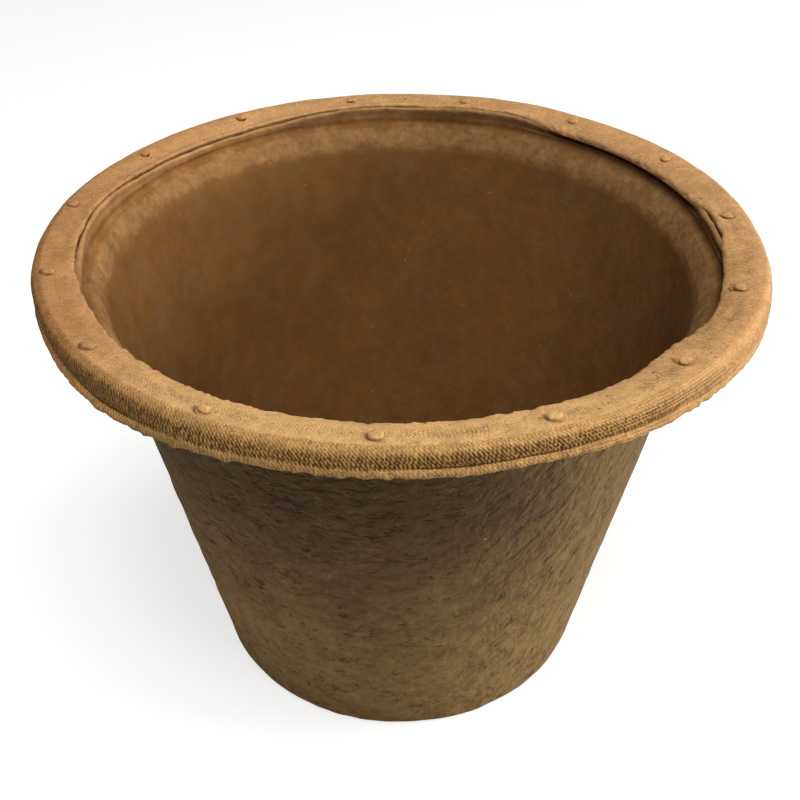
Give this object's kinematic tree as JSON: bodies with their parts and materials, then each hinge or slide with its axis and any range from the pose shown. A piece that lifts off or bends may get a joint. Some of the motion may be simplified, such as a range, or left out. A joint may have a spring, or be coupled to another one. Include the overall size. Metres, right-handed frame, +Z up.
{
  "type": "wood fibre plant pot",
  "caption": "Tapered round moulded wood fibre plant pot with a rolled rim, mouth crease, rim pips, stacking ledge, foot ring and a drained floor panel.",
  "frame": {"origin": "centre of the foot ring, on the surface the pot stands on", "axes": "+Z up along the pot's axis, -Y towards the side seen in the picture, +X to the right"},
  "size_m": [0.13, 0.13, 0.092],
  "materials": {
    "pulp_wall": "rough felted brown wood fibre, matt",
    "pulp_floor": "smooth pressed brown wood fibre, matt",
    "pulp_rim": "tan wood fibre with woven-wire imprint, matt",
    "pulp_pip": "tan wood fibre nub, matt"
  },
  "bodies": {
    "root": {"pot_wall": "pulp_wall", "pot_floor": "pulp_floor", "rim_collar": "pulp_rim", "rim_pip_01": "pulp_pip", "rim_pip_02": "pulp_pip", "rim_pip_03": "pulp_pip", "rim_pip_04": "pulp_pip", "rim_pip_05": "pulp_pip", "rim_pip_06": "pulp_pip", "rim_pip_07": "pulp_pip", "rim_pip_08": "pulp_pip", "rim_pip_09": "pulp_pip", "rim_pip_10": "pulp_pip", "rim_pip_11": "pulp_pip", "rim_pip_12": "pulp_pip", "rim_pip_13": "pulp_pip", "rim_pip_14": "pulp_pip", "rim_pip_15": "pulp_pip"}
  },
  "joints": []
}
